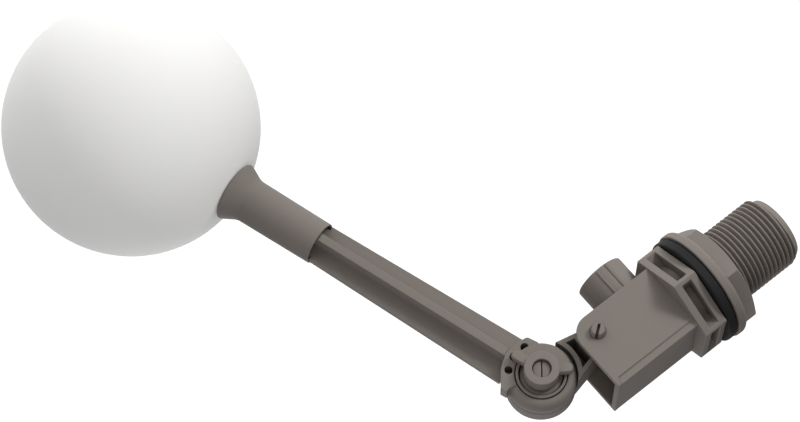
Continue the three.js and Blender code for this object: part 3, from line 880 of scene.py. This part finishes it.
def lock_pin():
    front = LOCK_PIN_RECESS - LOCK_HUB_FRONT
    back = EYE_BACK + GAP
    pin = turned(
        rounded([
            (0, front, 0),
            (LOCK_PIN_R, front, 0.4),
            (LOCK_PIN_R, back, 0),
            (LOCK_PIN_HEAD_R, back, 0.2),
            (LOCK_PIN_HEAD_R, back + LOCK_PIN_HEAD, 0.7),
            (0, back + LOCK_PIN_HEAD, 0),
        ]),
        "Y",
    )
    half = LOCK_PIN_SPLIT / 2
    split = block((-4, front - 1, -half), (4, front + LOCK_PIN_SPLIT_DEPTH, half))
    return moved(cut(pin, moved(split, Matrix.Rotation(LOCK_PIN_SPLIT_TURN, 4, "Y"))), AT_JOINT)


class FV_OT_lock(bpy.types.Operator):
    """Makes the knob that sets the arm's angle, and the split pin through it"""

    bl_idname = "float_valve.lock"
    bl_label = "Angle lock"

    def execute(self, context):
        add_piece("lock_knob", angle_lock(), "angle_lock", rounding=0.3)
        add_piece("lock_plate", lock_plate(), "angle_lock", rounding=0.2)
        add_piece("split_pin", lock_pin(), "lock_pin", rounding=0.1)
        return {"FINISHED"}


# ------------------------------------------------------------------ arm, drawn from the joint
HEAD_BORE_R = 8.9
HEAD_CROWN_R = 9.7
HEAD_CROWN = 6.2
HEAD_SHOULDER = 2.2
HEAD_BACK = 0.4
HEAD_DOME_STEPS = 8
LOBE_FACE = 6.5
LOBE_R = 13.5
HOLE_R = 1.375
HOLE_STEP = math.radians(26.4)
ARM_START = 11.0
ARM_HALF_AT_HEAD = 8.55
ARM_HALF_AT_SLEEVE = 7.2
ARM_LENGTH = 89.5
ARM_PLATE_HALF = 1.1
ARM_RIB_HALF_WIDTH = 1.45
ARM_RIB_REACH = 6.8
SLEEVE_BORE_R = 6.1
SLEEVE_MOUTH_R = 6.85
SLEEVE_MOUTH = 3.0
TONGUE_END = 112.0


def arm_head():
    ring = [(HEAD_BORE_R, -HEAD_CROWN)]
    for k in range(HEAD_DOME_STEPS + 1):
        turn = k * math.pi / 2 / HEAD_DOME_STEPS
        radius = HEAD_R - (HEAD_R - HEAD_CROWN_R) * (1 - math.sin(turn))
        height = HEAD_SHOULDER + (HEAD_CROWN - HEAD_SHOULDER) * math.cos(turn)
        ring.append((radius, -height))
    return turned(ring + [(HEAD_R, -HEAD_BACK), (HEAD_BORE_R, -HEAD_BACK)], "Y")


def polar(radius, degrees):
    turn = math.radians(degrees)
    return radius * math.cos(turn), radius * math.sin(turn)


def lobe():
    """The plate with the holes: a bump on one side, an arc over the arm and a hook on the other."""
    arc = [polar(LOBE_R, degrees) for degrees in range(-22, 45, 6)]
    corners = [
        (0, 0, 0),
        (*polar(11.2, -52), 0.5),
        (*polar(13.9, -37), 1.4),
        *((x, z, 0) for x, z in arc),
        (*polar(14.5, 54), 0.4),
        (*polar(13.2, 62), 0.3),
        (*polar(11.6, 59), 0.3),
    ]
    plate = slab(rounded(corners), -LOBE_FACE, 0)
    return cut(plate, rod(-LOBE_FACE - 1, 1, HEAD_BORE_R + 0.2, "Y"))


def arm_bar():
    end = ARM_LENGTH - GAP
    plate = slab(
        [
            (ARM_START, -ARM_HALF_AT_HEAD),
            (end, -ARM_HALF_AT_SLEEVE),
            (end, ARM_HALF_AT_SLEEVE),
            (ARM_START, ARM_HALF_AT_HEAD),
        ],
        -ARM_PLATE_HALF,
        ARM_PLATE_HALF,
    )
    rib = block(
        (ARM_START, -ARM_RIB_REACH, -ARM_RIB_HALF_WIDTH),
        (end, ARM_RIB_REACH, ARM_RIB_HALF_WIDTH),
    )
    inner = SLEEVE_BORE_R - GAP
    tongue = joined(
        block((end - 1, -ARM_PLATE_HALF, -inner), (TONGUE_END, ARM_PLATE_HALF, inner)),
        block((end - 1, -inner, -ARM_RIB_HALF_WIDTH), (TONGUE_END, inner, ARM_RIB_HALF_WIDTH)),
    )
    tongue = worked(tongue, ("INTERSECT", rod(end - 2, TONGUE_END + 1, inner)))
    return cut(
        joined(plate, rib, tongue),
        rod(0, 20, EYE_R + 2 * GAP, "Y"),
        rod(-20, 1, HEAD_BORE_R, "Y"),
    )


def float_arm():
    holes = []
    for k in (-1, 0, 1):
        centre = (HOLE_CIRCLE * math.cos(k * HOLE_STEP), 0, HOLE_CIRCLE * math.sin(k * HOLE_STEP))
        holes.append(rod(-LOBE_FACE - 1, -1, HOLE_R, "Y", centre, steps=40))
    front = slab(sector(LOBE_R + GAP, math.radians(-60), math.radians(70)), -20, -LOBE_FACE)
    bar = cut(arm_bar(), front)
    return moved(cut(joined(arm_head(), lobe(), bar), *holes), AT_JOINT)


class FV_OT_arm(bpy.types.Operator):
    """Makes the arm with its head, lobe and crossed ribs"""

    bl_idname = "float_valve.arm"
    bl_label = "Float arm"

    def execute(self, context):
        add_piece("arm_moulding", float_arm(), "float_arm", rounding=0.2)
        return {"FINISHED"}


# ------------------------------------------------------------------ socket and float
SLEEVE_R = 7.6
SLEEVE_NECK_R = 7.85
FLARE_START = 119.1
FLARE_END = 125.3
FLARE_R = 10.7
SOCKET_WEB = 3.0
STUD_R = 2.9
PLUG_R = 5.6
PLUG_DEPTH = 4.5
STUD_LENGTH = 9.0
RING_SECTION_R = 0.9


def ball_shape(radius, rings=72):
    """A ball about the float's centre, with its poles on the arm's axis."""
    profile = [
        (radius * math.sin(k * math.pi / rings), ARM_REACH - radius * math.cos(k * math.pi / rings))
        for k in range(rings + 1)
    ]
    profile[0] = (0, profile[0][1])
    profile[-1] = (0, profile[-1][1])
    return turned(profile, steps=128)


def float_socket():
    web = FLARE_START - SOCKET_WEB
    skin = rounded([
        (0, ARM_LENGTH, 0),
        (SLEEVE_R, ARM_LENGTH, 0.3),
        (SLEEVE_NECK_R, FLARE_START, 5),
        (FLARE_R, FLARE_END - OVERLAP, 0.7),
        (FLARE_R - 0.4, FLARE_END + OVERLAP, 0.1),
        (0, FLARE_END + OVERLAP, 0),
    ])
    return moved(
        cut(
            turned(skin),
            rod(ARM_LENGTH - 1, web, SLEEVE_BORE_R),
            rod(ARM_LENGTH - 1, ARM_LENGTH + SLEEVE_MOUTH, SLEEVE_MOUTH_R),
            rod(web - 1, FLARE_END + 1, STUD_R + GAP, steps=48),
            rod(FLARE_START + 1, FLARE_END + 1, PLUG_R + GAP, steps=64),
            ball_shape(BALL_R + GAP),
        ),
        AT_JOINT,
    )


def float_ball():
    pole = ARM_REACH - BALL_R
    hollow = cut(
        ball_shape(BALL_R),
        ball_shape(BALL_R - sizes().ball_wall / MM, 36),
        rod(pole - 5, pole + 8, PLUG_R + GAP, steps=64),
    )
    return moved(hollow, AT_JOINT)


def float_plug():
    face = ARM_REACH - BALL_R + GAP
    profile = rounded([
        (0, face - STUD_LENGTH, 0),
        (STUD_R, face - STUD_LENGTH, 0.4),
        (STUD_R, face, 0.2),
        (PLUG_R, face, 0.2),
        (PLUG_R, face + PLUG_DEPTH, 0.4),
        (0, face + PLUG_DEPTH, 0),
    ])
    return moved(turned(profile, steps=64), AT_JOINT)


def o_ring(centre, middle, section):
    count = 20
    turns = [k * FULL_TURN / count for k in range(count)]
    return turned([
        (middle + section * math.cos(turn), centre + section * math.sin(turn)) for turn in turns
    ])


class FV_OT_float(bpy.types.Operator):
    """Makes the socket on the arm and the ball float with its plug and seal"""

    bl_idname = "float_valve.ball_float"
    bl_label = "Socket and float"

    def execute(self, context):
        seal_place = ARM_REACH - BALL_R - RING_SECTION_R
        seal = o_ring(seal_place, STUD_R + RING_SECTION_R + FIT, RING_SECTION_R)
        add_piece("socket_sleeve", float_socket(), "float_socket", rounding=0.15)
        add_piece("ball_shell", float_ball(), "float_ball", rounding=0)
        add_piece("ball_plug", float_plug(), "float_plug", rounding=0)
        add_piece("ball_seal", moved(seal, AT_JOINT), "float_seal", rounding=0)
        return {"FINISHED"}


# ------------------------------------------------------------------ seat and plunger
NOZZLE_BORE_R = 3.5
NOZZLE_FLANGE = 1.6
SEAT_LIP_WALL = 1.1
SEAT_RING_SECTION_R = 0.7
GUIDE_LENGTH = 4.0
PLUNGER_HEAD_R = 5.9
PLUNGER_HEAD = 4.2
PLUNGER_WAIST_R = 3.6
PLUNGER_STEM_R = 2.2
GUIDE_RING_SECTION_R = 0.95
SEAL_EDGE_R = 0.3


def seat_nozzle():
    low, high = span("seat_nozzle")
    tail = INLET_BORE_R - GAP
    shoulder = CHAMBER_START + GAP
    face = shoulder + NOZZLE_FLANGE
    lip = NOZZLE_BORE_R + SEAT_LIP_WALL
    ring_low, ring_high = span("seat_oring")
    groove = INLET_BORE_R - (ring_high - ring_low) - GAP
    return turned(rounded([
        (NOZZLE_BORE_R, low, 0.4),
        (tail, low, 0.5),
        (tail, ring_low - GAP, 0.1),
        (groove, ring_low - GAP, 0.1),
        (groove, ring_high + GAP, 0.1),
        (tail, ring_high + GAP, 0.1),
        (tail, shoulder, 0.1),
        (CHAMBER_R - GAP, shoulder, 0.3),
        (CHAMBER_R - GAP, face, 0.3),
        (lip + SEAT_LIP_WALL, face, 0.4),
        (lip, high, 0.3),
        (NOZZLE_BORE_R, high, 0.3),
    ]))


def plunger():
    low, high = span("plunger")
    seal_back = span("plunger_seal")[1]
    seal_r = outside_radius("plunger_seal")
    ring_low, ring_high = span("plunger_oring")
    guide_end = BLOCK_END + GAP
    guide_start = guide_end - GUIDE_LENGTH
    guide = CHAMBER_R - GAP
    groove = CHAMBER_R - (ring_high - ring_low) - GAP
    head_end = low - GAP + PLUNGER_HEAD
    return turned(rounded([
        (0, seal_back + GAP, 0),
        (seal_r + GAP, seal_back + GAP, 0),
        (seal_r + GAP, low, 0.15),
        (PLUNGER_HEAD_R, low, 0.3),
        (PLUNGER_HEAD_R, head_end, 0.3),
        (PLUNGER_WAIST_R, head_end + 1, 0.5),
        (PLUNGER_WAIST_R, guide_start, 0.5),
        (guide, guide_start, 0.3),
        (guide, ring_low - GAP, 0.1),
        (groove, ring_low - GAP, 0.1),
        (groove, ring_high + GAP, 0.1),
        (guide, ring_high + GAP, 0.1),
        (guide, guide_end, 0.3),
        (PLUNGER_STEM_R, guide_end, 0.4),
        (PLUNGER_STEM_R, high, 0.5),
        (0, high, 0),
    ]))


def ring_in(node, bore, section):
    """An O-ring that fills a node's box in a bore along X."""
    low, high = span(node)
    return o_ring((low + high) / 2, bore - section - FIT, section)


def seal_disc():
    """The profile of the plunger's rubber disc."""
    low, high = span("plunger_seal")
    radius = outside_radius("plunger_seal")
    return rounded([
        (0, low, 0),
        (radius, low, SEAL_EDGE_R),
        (radius, high, SEAL_EDGE_R),
        (0, high, 0),
    ])


class FV_OT_plunger(bpy.types.Operator):
    """Makes the seat nozzle and the plunger with their seals"""

    bl_idname = "float_valve.plunger"
    bl_label = "Seat and plunger"

    def execute(self, context):
        nozzle_seal = ring_in("seat_oring", INLET_BORE_R, SEAT_RING_SECTION_R)
        guide_seal = ring_in("plunger_oring", CHAMBER_R, GUIDE_RING_SECTION_R)
        add_piece("nozzle_insert", seat_nozzle(), "seat_nozzle", rounding=0)
        add_piece("nozzle_seal", nozzle_seal, "seat_oring", rounding=0)
        add_piece("plunger_core", plunger(), "plunger", rounding=0)
        add_piece("seat_seal", turned(seal_disc()), "plunger_seal", rounding=0)
        add_piece("guide_seal", guide_seal, "plunger_oring", rounding=0)
        return {"FINISHED"}


# ------------------------------------------------------------------ stage
CAMERA_AT = Vector((0.27783, -0.84509, 0.21113))
CAMERA_RIGHT = Vector((-0.77893, 0.01641, 0.62689))
CAMERA_UP = Vector((-0.57949, -0.40092, -0.70954))
CAMERA_FORWARD = Vector((-0.23969, 0.91597, -0.32179))
LENS = 121.03
FLOOR_Z = -1.1
FLOOR_SIZE = 40.0
WASH_AT = (-4.8, 2.0, FLOOR_Z + 0.5)
WASH_SIZE = 12.0
WASH_POWER = 375.0
SKY = (0.96, 0.97, 1.0, 1.0)
SKY_STRENGTH = 0.24


def area_light(name, target, away, size, power):
    """A square light, placed away from its target and aimed at it."""
    light = bpy.data.lights.new(name, "AREA")
    light.size = size
    light.energy = power
    lamp = bpy.data.objects.new(name, light)
    lamp.location = target + away
    lamp.rotation_euler = (-away).to_track_quat("-Z", "Y").to_euler()
    lamp.visible_camera = False
    bpy.context.scene.collection.objects.link(lamp)


def floor_wash(scene):
    """A wide light under the object that shines down and brightens the floor."""
    light = bpy.data.lights.new("floor_wash", "AREA")
    light.size = WASH_SIZE
    light.energy = WASH_POWER
    lamp = bpy.data.objects.new("floor_wash", light)
    lamp.location = WASH_AT
    lamp.visible_camera = False
    scene.collection.objects.link(lamp)


class FV_OT_stage(bpy.types.Operator):
    """Makes the floor, the light and the camera"""

    bl_idname = "float_valve.stage"
    bl_label = "Floor, light and camera"

    def execute(self, context):
        scene = context.scene
        camera = bpy.data.cameras.new("camera")
        camera.lens = LENS
        camera.sensor_width = 36.0
        camera.clip_start = 0.01
        camera.clip_end = 60.0
        holder = bpy.data.objects.new("camera", camera)
        turn = Matrix((CAMERA_RIGHT, CAMERA_UP, -CAMERA_FORWARD)).transposed()
        holder.matrix_world = Matrix.Translation(CAMERA_AT) @ turn.to_4x4()
        scene.collection.objects.link(holder)
        scene.camera = holder

        shape = bmesh.new()
        bmesh.ops.create_grid(shape, x_segments=1, y_segments=1, size=FLOOR_SIZE / 2)
        bmesh.ops.translate(shape, verts=shape.verts, vec=(0, 0, FLOOR_Z))
        floor = as_object(shape, "floor")
        floor.data.materials.append(floor_paint())

        world = bpy.data.worlds.new("studio")
        world.use_nodes = True
        background = world.node_tree.nodes["Background"]
        background.inputs["Color"].default_value = SKY
        background.inputs["Strength"].default_value = SKY_STRENGTH
        scene.world = world
        scene.view_settings.view_transform = "Standard"
        scene.view_settings.look = "Medium High Contrast"

        valve = Vector((0.0, 0.0, 0.0))
        middle = (JOINT + BALL_CENTRE) / 2
        right, up, forward = CAMERA_RIGHT, CAMERA_UP, CAMERA_FORWARD
        area_light("key", valve, up * 0.5 + right * 0.45 - forward * 0.4, 0.2, 2.0)
        area_light("top", middle, right * 0.6 - forward * 0.6 + up * 0.9, 0.6, 2.4)
        area_light("front", middle, -forward * 1.4 + up * 0.1 + right * 0.1, 0.7, 1.9)
        area_light("back", middle, Vector((0.1, 1.2, 0.2)), 0.8, 4.0)
        area_light("ball_fill", BALL_CENTRE, -up * 0.34 - forward * 0.2, 0.3, 0.32)
        floor_wash(scene)
        return {"FINISHED"}


# ------------------------------------------------------------------ panel and registration
class FV_PT_panel(bpy.types.Panel):
    """Lists the float valve's pieces in the sidebar"""

    bl_label = "Float valve"
    bl_idname = "FV_PT_panel"
    bl_space_type = "VIEW_3D"
    bl_region_type = "UI"
    bl_category = "Float valve"

    def draw(self, context):
        for group in (sizes(), colours()):
            box = self.layout.box()
            for name in group.__annotations__:
                box.prop(group, name)
        for operator in OPERATORS:
            self.layout.operator(operator.bl_idname)


OPERATORS = (
    FV_OT_stage,
    FV_OT_body,
    FV_OT_nut,
    FV_OT_pin,
    FV_OT_lever,
    FV_OT_lock,
    FV_OT_arm,
    FV_OT_float,
    FV_OT_plunger,
)
CLASSES = (FloatValveSizes, FloatValveColours, *OPERATORS, FV_PT_panel)


def register():
    for cls in CLASSES:
        bpy.utils.register_class(cls)
    bpy.types.Scene.float_valve_sizes = bpy.props.PointerProperty(type=FloatValveSizes)
    bpy.types.Scene.float_valve_colours = bpy.props.PointerProperty(type=FloatValveColours)


def unregister():
    del bpy.types.Scene.float_valve_colours
    del bpy.types.Scene.float_valve_sizes
    for cls in reversed(CLASSES):
        bpy.utils.unregister_class(cls)


def main():
    register()
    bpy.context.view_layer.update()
    for operator in OPERATORS:
        group, name = operator.bl_idname.split(".")
        getattr(getattr(bpy.ops, group), name)()


if __name__ == "__main__":
    main()
